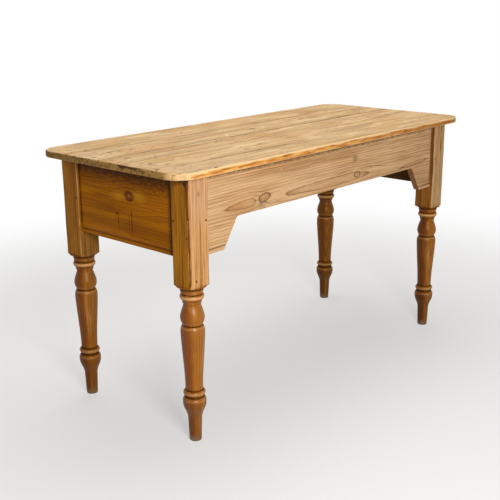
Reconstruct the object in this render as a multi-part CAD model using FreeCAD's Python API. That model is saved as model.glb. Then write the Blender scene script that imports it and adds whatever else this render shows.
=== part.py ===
import FreeCAD, Part
import math
import os

# An old pine kitchen table. Sizes are in millimetres. X runs along the table, -Y is the front,
# +Z is up, and the origin is on the floor under the middle of the top.

# The table as a whole.
table_height = 770.0
top_length = 1370.0
end_overhang = 59.5
side_overhang = 32.5
overrun = 5.0

# The boards of the top, from the front to the back.
board_thickness = 19.0
front_board_width = 96.0
second_board_width = 132.0
middle_board_width = 88.0
fourth_board_width = 130.0
back_board_width = 146.0
top_corner_radius = 63.0
top_arris_radius = 5.0
under_arris_radius = 3.0
board_arris = 0.8
tongue_thickness = 6.0
tongue_length = 7.0
tongue_clearance = 0.2
groove_end_clearance = 0.5

# The square block at the head of each leg.
leg_side = 68.0
block_arris_radius = 1.5
shoulder_lift = 6.0

# The turned part of each leg, from the floor up.
foot_radius = 17.2
foot_ease = 3.0
ankle_radius = 19.5
ankle_height = 64.0
lower_bulb_radius = 32.8
lower_bulb_height = 68.0
lower_groove_radius = 26.0
lower_groove_height = 6.0
ankle_ring_radius = 30.8
ankle_ring_height = 15.0
shaft_foot_radius = 24.4
shaft_radius = 33.6
shaft_height = 188.0
waist_groove_radius = 25.5
waist_groove_height = 3.0
upper_bulb_radius = 33.5
upper_bulb_height = 62.0
neck_radius = 24.0
neck_fillet_radius = 26.3
neck_fillet_height = 5.5
neck_ring_radius = 33.3
neck_ring_height = 18.5
collar_groove_radius = 28.0
collar_groove_height = 3.0
collar_foot_radius = 30.4
collar_radius = 33.5
collar_height = 19.0

# Outlines of the turned members: share of the member's height, share of its swell.
# The swell is counted from the lower end up to the fullest point, and from the upper end above it.
lower_bulb_shares = (
    (0.0, 0.0), (0.16, 0.06), (0.37, 0.4), (0.6, 0.86), (0.8, 1.0), (0.93, 0.85), (1.0, 0.35),
)
shaft_shares = (
    (0.0, 0.0), (0.25, 0.15), (0.48, 0.48), (0.7, 0.81), (0.87, 1.0), (0.95, 0.92), (1.0, 0.45),
)
upper_bulb_shares = (
    (0.0, 0.25), (0.1, 0.62), (0.31, 1.0), (0.5, 0.83), (0.68, 0.46), (0.86, 0.07), (1.0, 0.0),
)
neck_ring_shares = ((0.0, 0.0), (0.25, 0.6), (0.55, 1.0), (0.85, 0.8), (1.0, 0.2))

# The aprons between the legs.
apron_thickness = 21.0
apron_depth = 222.0
front_apron_setback = 11.0
end_apron_setback = 7.0
bead_height = 13.0
bead_quirk_width = 2.0
bead_quirk_depth = 2.4
bead_shoulder_radius = 3.5
bead_nose_radius = 5.0

# The knee arch in the two long aprons.
arch_rise = 86.0
bracket_length = 68.0
bracket_slope_run = 54.0
bracket_crook_radius = 14.0
bracket_nose_radius = 8.0

# Mortise and tenon joints, each held by one draw peg.
tenon_thickness = 9.5
tenon_length = 38.0
tenon_width = 110.0
tenon_drop = 66.0
haunch_length = 8.0
haunch_foot_inset = 26.0
mortise_clearance = 0.15
mortise_end_clearance = 2.0
peg_radius = 3.0
peg_length = 42.0
peg_inset = 8.5
peg_drop = 121.0
peg_clearance = 0.1

# The cross battens under the top.
batten_width = 46.0
batten_thickness = 22.0
batten_spacing = 656.0
batten_end_clearance = 1.0
batten_bevel = 5.0

# Wood screws, alike in the battens and in the pockets of the aprons.
screw_length = 34.0
screw_point_length = 6.0
screw_shank_radius = 2.3
screw_head_radius = 4.6
screw_head_height = 2.8
screw_slot_width = 1.1
screw_slot_depth = 1.1
screw_clearance = 0.1
pocket_radius = 6.5
pocket_lean = 14.0
pocket_seat_drop = 22.0
long_pocket_place_shares = (-0.385, -0.1, 0.1, 0.385)
end_pocket_place_shares = (-0.34, 0.0, 0.34)

# Rubbed glue blocks between the aprons and the top.
glue_block_side = 26.0
glue_block_length = 62.0
glue_block_bevel = 16.0
long_block_place_shares = (-0.455, -0.2, 0.0, 0.2, 0.455)
end_block_place_shares = (-0.2, 0.2)

# What follows from those sizes.
board_widths = (
    front_board_width,
    second_board_width,
    middle_board_width,
    fourth_board_width,
    back_board_width,
)
top_depth = sum(board_widths)
underside = table_height - board_thickness
leg_place_x = top_length / 2 - end_overhang - leg_side / 2
leg_place_y = top_depth / 2 - side_overhang - leg_side / 2
long_clear = 2 * leg_place_x - leg_side
end_clear = 2 * leg_place_y - leg_side
apron_foot = underside - apron_depth
tenon_top = underside - tenon_drop
tenon_foot = tenon_top - tenon_width
peg_place_z = underside - peg_drop

tiny_step_share = 1e-6
tiny_step = tiny_step_share * leg_side

up = FreeCAD.Vector(0, 0, 1)


def point(x, y, z):
    """A point, or a direction, from its three coordinates."""
    return FreeCAD.Vector(x, y, z)


def block(low, high):
    """A rectangular block between its lowest and highest corners."""
    size = high - low
    return Part.makeBox(size.x, size.y, size.z, low)


def rounded_wire(corners, radii):
    """A closed wire through the corners, each of them rounded to its radius."""
    edges = []
    first = None
    last = None
    for index, corner in enumerate(corners):
        to_last = (corners[index - 1] - corner).normalize()
        to_next = (corners[(index + 1) % len(corners)] - corner).normalize()
        start = corner
        end = corner
        if radii[index]:
            half_angle = to_last.getAngle(to_next) / 2
            reach = radii[index] / math.tan(half_angle)
            bulge = radii[index] / math.sin(half_angle) - radii[index]
            start = corner + to_last * reach
            end = corner + to_next * reach
            middle = corner + (to_last + to_next).normalize() * bulge
        if last is None:
            first = start
        else:
            edges.append(Part.makeLine(last, start))
        if radii[index]:
            edges.append(Part.Arc(start, middle, end).toShape())
        last = end
    edges.append(Part.makeLine(last, first))
    return Part.Wire(edges)


def prism(wire, travel):
    """The solid that a closed flat wire sweeps along a straight travel."""
    return Part.Face(wire).extrude(travel)


def cut_all(shape, cutters):
    """The shape with every cutter taken out of it."""
    return shape.cut(Part.makeCompound(cutters)) if cutters else shape


# The screws. Each one is made head down on the origin, with its point up, and is then placed.


def screw_body(length, clearance):
    """A countersunk wood screw, or with a clearance the hole that it makes."""
    shank = screw_shank_radius + clearance
    head = screw_head_radius + clearance
    corners = [
        point(0, 0, 0),
        point(head, 0, 0),
        point(shank, 0, screw_head_height + clearance),
        point(shank, 0, length - screw_point_length),
        point(0, 0, length + clearance),
    ]
    face = Part.Face(Part.makePolygon(corners + corners[:1]))
    return face.revolve(point(0, 0, 0), up, 360)


def screw():
    """A wood screw with its slot."""
    reach = screw_head_radius + overrun
    slot = block(
        point(-reach, -screw_slot_width / 2, -overrun),
        point(reach, screw_slot_width / 2, screw_slot_depth),
    )
    return screw_body(screw_length, 0).cut(slot)


def placed(shape, place, direction):
    """A copy of the shape with its Z axis turned to the direction and its origin at the place."""
    copy = shape.copy()
    copy.Placement = FreeCAD.Placement(place, FreeCAD.Rotation(up, direction))
    return copy


# The four sides of the frame share one pattern. A side is made as if it were the front one, with its
# outer face in the plane Y = 0, and turned about Z to where it belongs.


def side_placement(turn, face_place):
    """Where a side goes: its turn about Z and how far its outer face stands from the middle."""
    outward = FreeCAD.Rotation(up, turn)
    return FreeCAD.Placement(outward.multVec(point(0, -face_place, 0)), outward)


front_face_place = leg_place_y + leg_side / 2 - front_apron_setback
end_face_place = leg_place_x + leg_side / 2 - end_apron_setback
sides = {
    "front": {
        "placement": side_placement(0, front_face_place),
        "clear": long_clear,
        "setback": front_apron_setback,
        "arch": True,
        "pockets": long_pocket_place_shares,
        "blocks": long_block_place_shares,
    },
    "back": {
        "placement": side_placement(180, front_face_place),
        "clear": long_clear,
        "setback": front_apron_setback,
        "arch": True,
        "pockets": long_pocket_place_shares,
        "blocks": long_block_place_shares,
    },
    "left": {
        "placement": side_placement(-90, end_face_place),
        "clear": end_clear,
        "setback": end_apron_setback,
        "arch": False,
        "pockets": end_pocket_place_shares,
        "blocks": end_block_place_shares,
    },
    "right": {
        "placement": side_placement(90, end_face_place),
        "clear": end_clear,
        "setback": end_apron_setback,
        "arch": False,
        "pockets": end_pocket_place_shares,
        "blocks": end_block_place_shares,
    },
}


def on_side(shape, side):
    """A shape made for the front plane, moved to its side of the frame."""
    copy = shape.copy()
    copy.Placement = side["placement"].multiply(copy.Placement)
    return copy


# Aprons.


def apron_section():
    """The cross-section of an apron, with the bead and its quirk at the foot of the outer face."""
    bead_top = apron_foot + bead_height
    quirk_top = bead_top + bead_quirk_width
    bend = 1 - math.sqrt(0.5)
    shoulder_end = point(0, 0, bead_top - bead_shoulder_radius)
    shoulder_start = point(0, bead_quirk_depth, bead_top)
    shoulder_middle = point(0, bead_quirk_depth * bend, bead_top - bead_shoulder_radius * bend)
    nose_start = point(0, 0, apron_foot + bead_nose_radius)
    nose_middle = point(0, bead_nose_radius * bend, apron_foot + bead_nose_radius * bend)
    nose_end = point(0, bead_nose_radius, apron_foot)
    inner_foot = point(0, apron_thickness, apron_foot)
    inner_head = point(0, apron_thickness, underside)
    outer_head = point(0, 0, underside)
    quirk_start = point(0, 0, quirk_top)
    return Part.Wire([
        Part.makeLine(quirk_start, shoulder_start),
        Part.Arc(shoulder_start, shoulder_middle, shoulder_end).toShape(),
        Part.makeLine(shoulder_end, nose_start),
        Part.Arc(nose_start, nose_middle, nose_end).toShape(),
        Part.makeLine(nose_end, inner_foot),
        Part.makeLine(inner_foot, inner_head),
        Part.makeLine(inner_head, outer_head),
        Part.makeLine(outer_head, quirk_start),
    ])


def knee_arch(clear):
    """The wood cut away between the two brackets of a long apron."""
    foot_half = clear / 2 - bracket_length
    head_half = foot_half - bracket_slope_run
    far_half = clear / 2 - bracket_length / 2
    corners = [
        point(-far_half, -overrun, apron_foot - overrun),
        point(-far_half, -overrun, apron_foot),
        point(-foot_half, -overrun, apron_foot),
        point(-head_half, -overrun, apron_foot + arch_rise),
        point(head_half, -overrun, apron_foot + arch_rise),
        point(foot_half, -overrun, apron_foot),
        point(far_half, -overrun, apron_foot),
        point(far_half, -overrun, apron_foot - overrun),
    ]
    nose = bracket_nose_radius
    crook = bracket_crook_radius
    wire = rounded_wire(corners, [0, 0, nose, crook, crook, nose, 0, 0])
    return prism(wire, point(0, apron_thickness + 2 * overrun, 0))


def tenons(clear, clearance, end_clearance):
    """The two tenons of an apron with their haunches, or with clearances the mortises for them."""
    tongue_face = (apron_thickness - tenon_thickness) / 2 - clearance
    tongue_back = (apron_thickness + tenon_thickness) / 2 + clearance
    haunch_foot = apron_foot + haunch_foot_inset
    root = clear / 2 - overrun
    tenon_reach = clear / 2 + tenon_length + end_clearance
    haunch_reach = clear / 2 + haunch_length + clearance
    pieces = []
    for end in (-1, 1):
        tenon_ends = sorted((end * root, end * tenon_reach))
        haunch_ends = sorted((end * root, end * haunch_reach))
        pieces.append(block(
            point(tenon_ends[0], tongue_face, tenon_foot - clearance),
            point(tenon_ends[1], tongue_back, tenon_top + clearance),
        ))
        pieces.append(block(
            point(haunch_ends[0], tongue_face, haunch_foot - clearance),
            point(haunch_ends[1], tongue_back, underside),
        ))
    return pieces[0].multiFuse(pieces[1:])


def pocket_place(side, share):
    """Where a pocket screw's axis crosses the top edge of its apron, and the way it points."""
    lean = math.radians(pocket_lean)
    crossing = point(share * side["clear"], apron_thickness / 2, underside)
    return crossing, point(0, -math.sin(lean), math.cos(lean))


def pocket_screw_shapes(side, shape):
    """The shape, made for a screw on the origin, at each pocket of a side."""
    shapes = []
    for share in side["pockets"]:
        crossing, direction = pocket_place(side, share)
        seat = crossing - direction * pocket_seat_drop
        shapes.append(on_side(placed(shape, seat, direction), side))
    return shapes


def pocket_cutter():
    """A pocket's bore below its screw, with the screw's own hole above it."""
    bore_length = apron_thickness / math.sin(math.radians(pocket_lean))
    bore = Part.makeCylinder(pocket_radius, bore_length, point(0, 0, -bore_length))
    return bore.fuse(screw_body(screw_length, screw_clearance))


def apron(side, peg_holes):
    """One apron with its tenons, bead and pockets, and a knee arch where it has one."""
    clear = side["clear"]
    board = prism(apron_section(), point(clear, 0, 0))
    board.translate(point(-clear / 2, 0, 0))
    if side["arch"]:
        board = board.cut(knee_arch(clear))
    board = board.fuse(tenons(clear, 0, 0)).removeSplitter()
    board = on_side(board, side)
    return cut_all(board, pocket_screw_shapes(side, pocket_cutter()) + peg_holes)


# Draw pegs, one across each end of each apron.


def pegs(clearance):
    """All the draw pegs, or with a clearance their holes."""
    shapes = []
    for side in sides.values():
        for end in (-1, 1):
            place_x = end * (side["clear"] / 2 + peg_inset)
            start = point(place_x, -side["setback"], peg_place_z)
            length = peg_length + clearance
            peg = Part.makeCylinder(peg_radius + clearance, length, start, point(0, 1, 0))
            shapes.append(on_side(peg, side))
    return shapes


# Legs.


def member_points(foot, height, foot_radius_here, full_radius, head_radius, outline_shares):
    """Points up the outline of one turned member."""
    fullest = max(outline_shares, key=lambda pair: pair[1])[0]
    points = []
    for height_share, swell_share in outline_shares:
        end_radius = foot_radius_here if height_share <= fullest else head_radius
        radius = end_radius + (full_radius - end_radius) * swell_share
        points.append(point(radius, 0, foot + height * height_share))
    return points


def curve(points):
    """A smooth edge through the points."""
    spline = Part.BSplineCurve()
    spline.interpolate(points)
    return spline.toShape()


def ring(foot, height, foot_radius_here, full_radius, head_radius):
    """The outline of a half-round ring."""
    return Part.Arc(
        point(foot_radius_here, 0, foot),
        point(full_radius, 0, foot + height / 2),
        point(head_radius, 0, foot + height),
    ).toShape()


def leg_outline():
    """The outline of the whole leg, from the middle of the foot to the middle of the head."""
    bulb_foot = ankle_height
    groove_foot = bulb_foot + lower_bulb_height
    ring_foot = groove_foot + lower_groove_height
    shaft_foot = ring_foot + ankle_ring_height
    waist_foot = shaft_foot + shaft_height
    upper_foot = waist_foot + waist_groove_height
    fillet_foot = upper_foot + upper_bulb_height
    neck_ring_foot = fillet_foot + neck_fillet_height
    collar_groove_foot = neck_ring_foot + neck_ring_height
    collar_foot = collar_groove_foot + collar_groove_height
    shoulder = collar_foot + collar_height
    corner_reach = leg_side / 2 * math.sqrt(2) + overrun
    bend = math.sqrt(0.5)
    lift_at_bend = shoulder + shoulder_lift * (1 - bend)
    reach_at_bend = collar_radius + (corner_reach - collar_radius) * bend
    members = [
        Part.Arc(
            point(foot_radius - foot_ease, 0, 0),
            point(foot_radius - foot_ease * (1 - bend), 0, foot_ease * (1 - bend)),
            point(foot_radius, 0, foot_ease),
        ).toShape(),
        curve(member_points(
            bulb_foot, lower_bulb_height, ankle_radius, lower_bulb_radius, lower_groove_radius,
            lower_bulb_shares,
        )),
        Part.makeLine(
            point(lower_groove_radius, 0, groove_foot),
            point(lower_groove_radius, 0, ring_foot),
        ),
        ring(ring_foot, ankle_ring_height, lower_groove_radius, ankle_ring_radius, shaft_foot_radius),
        curve(member_points(
            shaft_foot, shaft_height, shaft_foot_radius, shaft_radius, waist_groove_radius, shaft_shares,
        )),
        Part.makeLine(
            point(waist_groove_radius, 0, waist_foot),
            point(waist_groove_radius, 0, upper_foot),
        ),
        curve(member_points(
            upper_foot, upper_bulb_height, waist_groove_radius, upper_bulb_radius, neck_radius,
            upper_bulb_shares,
        )),
        Part.makeLine(
            point(neck_fillet_radius, 0, fillet_foot),
            point(neck_fillet_radius, 0, neck_ring_foot),
        ),
        curve(member_points(
            neck_ring_foot, neck_ring_height, neck_fillet_radius, neck_ring_radius, collar_groove_radius,
            neck_ring_shares,
        )),
        Part.makeLine(
            point(collar_groove_radius, 0, collar_groove_foot),
            point(collar_groove_radius, 0, collar_foot),
        ),
        Part.makeLine(point(collar_foot_radius, 0, collar_foot), point(collar_radius, 0, shoulder)),
        Part.Arc(
            point(collar_radius, 0, shoulder),
            point(reach_at_bend, 0, lift_at_bend),
            point(corner_reach, 0, shoulder + shoulder_lift),
        ).toShape(),
        Part.makeLine(
            point(corner_reach, 0, shoulder + shoulder_lift),
            point(corner_reach, 0, underside),
        ),
    ]
    return members


def joined(members):
    """A closed wire through the members of an outline, with straight steps where they don't meet."""
    edges = []
    last = point(0, 0, 0)
    for member in members:
        start = member.Vertexes[0].Point
        if not last.isEqual(start, tiny_step):
            edges.append(Part.makeLine(last, start))
        edges.append(member)
        last = member.Vertexes[-1].Point
    head = point(0, 0, last.z)
    edges.append(Part.makeLine(last, head))
    edges.append(Part.makeLine(head, point(0, 0, 0)))
    return Part.Wire(edges)


def leg_blank():
    """A leg with its axis on the Z axis, before its mortises are cut."""
    turned = Part.Face(joined(leg_outline())).revolve(point(0, 0, 0), up, 360)
    half = leg_side / 2
    corners = [
        point(-half, -half, 0),
        point(half, -half, 0),
        point(half, half, 0),
        point(-half, half, 0),
    ]
    square = prism(rounded_wire(corners, [block_arris_radius] * 4), point(0, 0, underside))
    return turned.common(square)


def leg(blank, place_x, place_y, holes):
    """A leg in its place, with its mortises and peg holes."""
    body = blank.copy()
    body.translate(point(place_x, place_y, 0))
    return cut_all(body, holes)


# The top.


def top_blank():
    """The whole top as one slab, with its rounded corners and worn edges."""
    half_x = top_length / 2
    half_y = top_depth / 2
    corners = [
        point(-half_x, -half_y, underside),
        point(half_x, -half_y, underside),
        point(half_x, half_y, underside),
        point(-half_x, half_y, underside),
    ]
    slab = prism(rounded_wire(corners, [top_corner_radius] * 4), point(0, 0, board_thickness))
    level = (edge for edge in slab.Edges if abs(edge.BoundBox.ZLength) < tiny_step)
    upper = []
    lower = []
    for edge in level:
        if edge.BoundBox.ZMin > underside + board_thickness / 2:
            upper.append(edge)
        else:
            lower.append(edge)
    return slab.makeFillet(top_arris_radius, upper).makeFillet(under_arris_radius, lower)


def board_section(low, high, tongue, groove):
    """The cross-section of one board, with a groove at its front edge or a tongue at its back edge."""
    middle = underside + board_thickness / 2
    half_tongue = tongue_thickness / 2
    half_groove = half_tongue + tongue_clearance
    groove_depth = tongue_length + groove_end_clearance
    corners = [point(0, low, underside)]
    if groove:
        corners += [
            point(0, low, middle - half_groove),
            point(0, low + groove_depth, middle - half_groove),
            point(0, low + groove_depth, middle + half_groove),
            point(0, low, middle + half_groove),
            point(0, low, table_height - board_arris),
            point(0, low + board_arris, table_height),
        ]
    else:
        corners += [point(0, low, table_height)]
    if tongue:
        corners += [
            point(0, high - board_arris, table_height),
            point(0, high, table_height - board_arris),
            point(0, high, middle + half_tongue),
            point(0, high + tongue_length, middle + half_tongue),
            point(0, high + tongue_length, middle - half_tongue),
            point(0, high, middle - half_tongue),
        ]
    else:
        corners += [point(0, high, table_height)]
    corners += [point(0, high, underside)]
    return Part.makePolygon(corners + corners[:1])


def board_edges():
    """The front and back edge of each board of the top."""
    edges = []
    low = -top_depth / 2
    for width in board_widths:
        edges.append((low, low + width))
        low += width
    return edges


def top_boards(screw_holes):
    """The boards of the top, front to back, tongued into each other."""
    blank = top_blank()
    edges = board_edges()
    boards = []
    for index, (low, high) in enumerate(edges):
        section = board_section(low, high, index < len(edges) - 1, index > 0)
        strip = prism(section, point(top_length, 0, 0))
        strip.translate(point(-top_length / 2, 0, 0))
        boards.append(cut_all(blank.common(strip), screw_holes))
    return boards


# Battens, with one screw into each board that they cross.


batten_half_length = front_face_place - apron_thickness - batten_end_clearance


def batten_screw_places(place_x):
    """Where the screws of one batten start: on its lower face, midway across each board."""
    places = []
    for low, high in board_edges():
        start = max(low, -batten_half_length)
        end = min(high, batten_half_length)
        places.append(point(place_x, (start + end) / 2, underside - batten_thickness))
    return places


def batten(place_x, holes):
    """A batten under the top, bevelled along its lower edges."""
    half = batten_width / 2
    foot = underside - batten_thickness
    start = -batten_half_length
    corners = [
        point(place_x - half, start, underside),
        point(place_x - half, start, foot + batten_bevel),
        point(place_x - half + batten_bevel, start, foot),
        point(place_x + half - batten_bevel, start, foot),
        point(place_x + half, start, foot + batten_bevel),
        point(place_x + half, start, underside),
    ]
    wire = Part.makePolygon(corners + corners[:1])
    return cut_all(prism(wire, point(0, 2 * batten_half_length, 0)), holes)


# Glue blocks.


def glue_blocks(side):
    """The rubbed blocks of one side, in the angle between its apron and the top."""
    inner = apron_thickness
    side_length = glue_block_side
    shapes = []
    for share in side["blocks"]:
        start = share * side["clear"] - glue_block_length / 2
        corners = [
            point(start, inner, underside),
            point(start, inner, underside - side_length),
            point(start, inner + side_length - glue_block_bevel, underside - side_length),
            point(start, inner + side_length, underside - side_length + glue_block_bevel),
            point(start, inner + side_length, underside),
        ]
        wire = Part.makePolygon(corners + corners[:1])
        shapes.append(on_side(prism(wire, point(glue_block_length, 0, 0)), side))
    return shapes


# The pieces together.


def build_table():
    """Every piece of the table in its place, by name."""
    pieces = {}
    peg_holes = pegs(peg_clearance)
    screw_hole = screw_body(screw_length, screw_clearance)

    batten_places = {"left": -batten_spacing / 2, "right": batten_spacing / 2}
    batten_screws = []
    batten_holes = []
    for place_x in batten_places.values():
        for start in batten_screw_places(place_x):
            batten_screws.append(placed(screw(), start, up))
            batten_holes.append(placed(screw_hole, start, up))

    pocket_screws = []
    pocket_holes = []
    for name, side in sides.items():
        pieces["apron_" + name] = apron(side, peg_holes)
        pieces["glue_blocks_" + name] = Part.makeCompound(glue_blocks(side))
        pocket_screws += pocket_screw_shapes(side, screw())
        pocket_holes += pocket_screw_shapes(side, screw_hole)

    mortises = []
    for side in sides.values():
        cutter = tenons(side["clear"], mortise_clearance, mortise_end_clearance)
        mortises.append(on_side(cutter, side))
    blank = leg_blank()
    for depth_name, place_y in (("front", -leg_place_y), ("back", leg_place_y)):
        for length_name, place_x in (("left", -leg_place_x), ("right", leg_place_x)):
            name = "leg_" + depth_name + "_" + length_name
            pieces[name] = leg(blank, place_x, place_y, mortises + peg_holes)

    for number, board in enumerate(top_boards(batten_holes + pocket_holes), start=1):
        pieces["top_board_" + str(number)] = board
    for name, place_x in batten_places.items():
        pieces["top_batten_" + name] = batten(place_x, batten_holes)

    pieces["draw_pegs"] = Part.makeCompound(pegs(0))
    pieces["batten_screws"] = Part.makeCompound(batten_screws)
    pieces["pocket_screws"] = Part.makeCompound(pocket_screws)
    return pieces


os.makedirs("parts", exist_ok=True)
for piece_name, shape in build_table().items():
    shape.exportStep("parts/" + piece_name + ".step")
    print(piece_name, len(shape.Solids), "solids", round(shape.Volume / 1000, 1), "cm3")
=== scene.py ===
from math import copysign, cos, hypot, pi, radians, sin, sqrt

import bmesh
import bpy
from mathutils import Euler, Matrix, Vector, noise


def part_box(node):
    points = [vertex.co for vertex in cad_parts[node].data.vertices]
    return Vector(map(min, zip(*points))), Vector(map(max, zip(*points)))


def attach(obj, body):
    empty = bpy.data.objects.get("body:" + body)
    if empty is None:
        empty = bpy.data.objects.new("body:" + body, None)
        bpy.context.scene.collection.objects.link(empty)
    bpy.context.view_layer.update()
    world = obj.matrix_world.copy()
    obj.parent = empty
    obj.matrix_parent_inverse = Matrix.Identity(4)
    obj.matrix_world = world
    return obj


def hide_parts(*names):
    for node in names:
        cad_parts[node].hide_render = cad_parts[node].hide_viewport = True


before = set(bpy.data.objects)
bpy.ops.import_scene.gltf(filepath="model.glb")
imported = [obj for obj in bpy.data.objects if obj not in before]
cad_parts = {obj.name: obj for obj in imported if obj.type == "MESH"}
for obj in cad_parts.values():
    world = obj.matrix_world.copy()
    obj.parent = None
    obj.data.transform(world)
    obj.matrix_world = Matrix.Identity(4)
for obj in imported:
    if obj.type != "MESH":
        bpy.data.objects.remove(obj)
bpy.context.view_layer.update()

mm = 0.001


# The legs. Each is one length of pine, left square at its head to take the aprons and turned below
# on a lathe. The wax on them has gone dark in the grooves and brown on the turning, and the square
# heads are rubbed paler, with their arrises worn and a few old splits. Painted into their colour as
# well are a painted shadow under the top on the heads' end faces, painted shade on the turning of the
# right and back legs and on the front and back faces of the back legs' heads, a darker, more
# saturated end-face tint that is partly painted shade and partly the pine's own colour, and a
# painted highlight on the upper ring crests.

shoulder = 452 * mm
shoulder_lift = 6 * mm
block_half = 34 * mm
corner_reach = 53 * mm
neck_radius = 33.5 * mm
columns = 96
corner_crowding = 0.62
ring_spacing = 3 * mm
ring_gap = 0.9 * mm
block_ring_spacing = 7 * mm
hollow_reach = 8 * mm
hollow_depth = 4 * mm
dent_depth = 0.45 * mm
foot_height = 14 * mm
foot_chip = 2.2 * mm
crease = radians(32)


def merged_copy(node):
    """A copy of a CAD node's mesh with its triangles joined and its flat faces made whole."""
    mesh = bmesh.new()
    mesh.from_mesh(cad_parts[node].data)
    bmesh.ops.remove_doubles(mesh, verts=mesh.verts, dist=0.01 * mm)
    bmesh.ops.dissolve_limit(mesh, angle_limit=radians(0.3), verts=mesh.verts, edges=mesh.edges)
    return mesh


def put_in_place(name, mesh, material, node):
    """The finished mesh as the piece that stands for a CAD node."""
    data = bpy.data.meshes.new(name)
    mesh.to_mesh(data)
    mesh.free()
    data.shade_smooth()
    data.set_sharp_from_angle(angle=crease)
    data.materials.append(material)
    piece = bpy.data.objects.new(name, data)
    bpy.context.scene.collection.objects.link(piece)
    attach(piece, "root")
    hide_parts(node)
    return piece


def turned_outline(node):
    """Radius and height up the turned part of a leg, read off the rings of its CAD solid."""
    low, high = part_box(node)
    axis = (low + high) / 2
    rings = {}
    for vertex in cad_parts[node].data.vertices:
        if vertex.co.z < shoulder - 0.05 * mm:
            radius = round(hypot(vertex.co.x - axis.x, vertex.co.y - axis.y), 4)
            rings.setdefault(round(vertex.co.z, 4), set()).add(radius)
    outline = [(0.0, 0.0)]
    for height in sorted(rings):
        radii = sorted((min(rings[height]), max(rings[height])))
        if abs(outline[-1][0] - radii[1]) < abs(outline[-1][0] - radii[0]):
            radii.reverse()
        if radii[1] - radii[0] == 0:
            last_radius, last_height = outline[-1]
            if hypot(radii[0] - last_radius, height - last_height) < ring_gap:
                continue
            radii.pop()
        for radius in radii:
            outline.append((radius, height))
    return outline


def leg_outline(node):
    """The whole outline of a leg, with rings close enough together for the wear."""
    outline = turned_outline(node)
    for step in range(10):
        turn = step / 9 * pi / 2
        reach = neck_radius + (corner_reach - neck_radius) * sin(turn)
        outline.append((reach, shoulder + shoulder_lift * (1 - cos(turn))))
    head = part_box(node)[1].z
    outline.append((corner_reach, head))
    outline.append((0.0, head))
    dense = [outline[0]]
    for radius, height in outline[1:]:
        last_radius, last_height = dense[-1]
        spacing = ring_spacing if last_height < shoulder else block_ring_spacing
        count = max(1, round(abs(height - last_height) / spacing))
        for step in range(1, count + 1):
            share = step / count
            dense.append((last_radius + (radius - last_radius) * share,
                          last_height + (height - last_height) * share))
    return dense


def square_reach(turn, arris_radius):
    """How far the square block reaches from its axis in one direction, with its arris rounded."""
    along = max(abs(cos(turn)), abs(sin(turn)))
    across = min(abs(cos(turn)), abs(sin(turn)))
    flat = block_half / along
    centre = block_half - arris_radius
    if flat * across <= centre:
        return flat
    middle = centre * (along + across)
    return middle + sqrt(max(0.0, middle * middle - 2 * centre * centre + arris_radius * arris_radius))


def worn(place, seed, scale):
    """Smooth noise from -1 to 1 for wear and warping, the same each run."""
    return noise.noise(Vector((place.x * scale + seed, place.y * scale - seed, place.z * scale)))


def leg_mesh(node, seed, splits):
    """A leg turned and squared, then worn."""
    low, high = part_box(node)
    axis = Vector(((low.x + high.x) / 2, (low.y + high.y) / 2, 0))
    mesh = bmesh.new()
    hollow = mesh.verts.layers.float.new("hollow")
    outline = leg_outline(node)
    chain = []
    for radius, height in outline:
        near = [other for other, level in outline if abs(level - height) < hollow_reach and other > 0]
        vertex = mesh.verts.new((radius, 0, height))
        if 0 < height < shoulder:
            vertex[hollow] = (sum(near) / len(near) - radius) / hollow_depth
        chain.append(vertex)
    edges = [mesh.edges.new(pair) for pair in zip(chain, chain[1:])]
    bmesh.ops.spin(mesh, geom=chain + edges, cent=(0, 0, 0), axis=(0, 0, 1), angle=2 * pi,
                   steps=columns, use_merge=True)
    bmesh.ops.remove_doubles(mesh, verts=mesh.verts, dist=0.001 * mm)
    bmesh.ops.recalc_face_normals(mesh, faces=mesh.faces)
    for vertex in mesh.verts:
        spot = vertex.co
        reach = hypot(spot.x, spot.y)
        if reach < 0.1 * mm:
            vertex.co = axis + Vector((0, 0, spot.z))
            continue
        turn = Vector((spot.x, spot.y)).angle_signed(Vector((1, 0)))
        turn += corner_crowding * sin(4 * turn) / 4
        corner = Vector((cos(turn), sin(turn), 0)) * 2 + Vector((seed, 0, spot.z * 14))
        softness = 0.5 + 0.5 * noise.noise(corner)
        arris_radius = (1.6 + 5.5 * softness ** 2.2) * mm
        limit = square_reach(turn, arris_radius)
        on_block = spot.z > shoulder
        if on_block and reach >= limit:
            reach = limit
            dent = max(0.0, noise.noise(Vector((turn * 3 + seed, 3.1, spot.z * 24))))
            reach -= dent_depth * dent
            vertex[hollow] = 0.2 * dent
            for at, width, depth, foot, head in splits:
                at += 0.035 * noise.noise(Vector((seed, 5.3, spot.z * 16)))
                off = abs((turn - at + pi) % (2 * pi) - pi) * reach
                if foot < spot.z < head and off < width:
                    reach -= depth * (1 - off / width)
                    vertex[hollow] = 1.6 * (1 - off / width)
        elif not on_block:
            reach *= 1 - 0.006 * (1 + noise.noise(Vector((cos(turn) + seed, sin(turn), spot.z * 9))))
            if spot.z < foot_height and reach > 10 * mm:
                chip = noise.noise(Vector((cos(turn) * 2.6 + seed, sin(turn) * 2.6, spot.z * 60)))
                reach -= max(0.0, chip) * foot_chip * (1 - spot.z / foot_height)
        vertex.co = axis + Vector((cos(turn) * reach, sin(turn) * reach, spot.z))
    return mesh


def join(tree, value, socket):
    """Joins an output to a socket, or sets the socket to a plain value."""
    if isinstance(value, bpy.types.NodeSocket):
        tree.links.new(value, socket)
    else:
        socket.default_value = value


def add_node(tree, kind, inputs, **settings):
    """A new node with its settings, each named input joined or set."""
    made = tree.nodes.new("ShaderNode" + kind)
    for name, value in settings.items():
        setattr(made, name, value)
    for name, value in inputs.items():
        join(tree, value, made.inputs[name])
    return made


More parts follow.
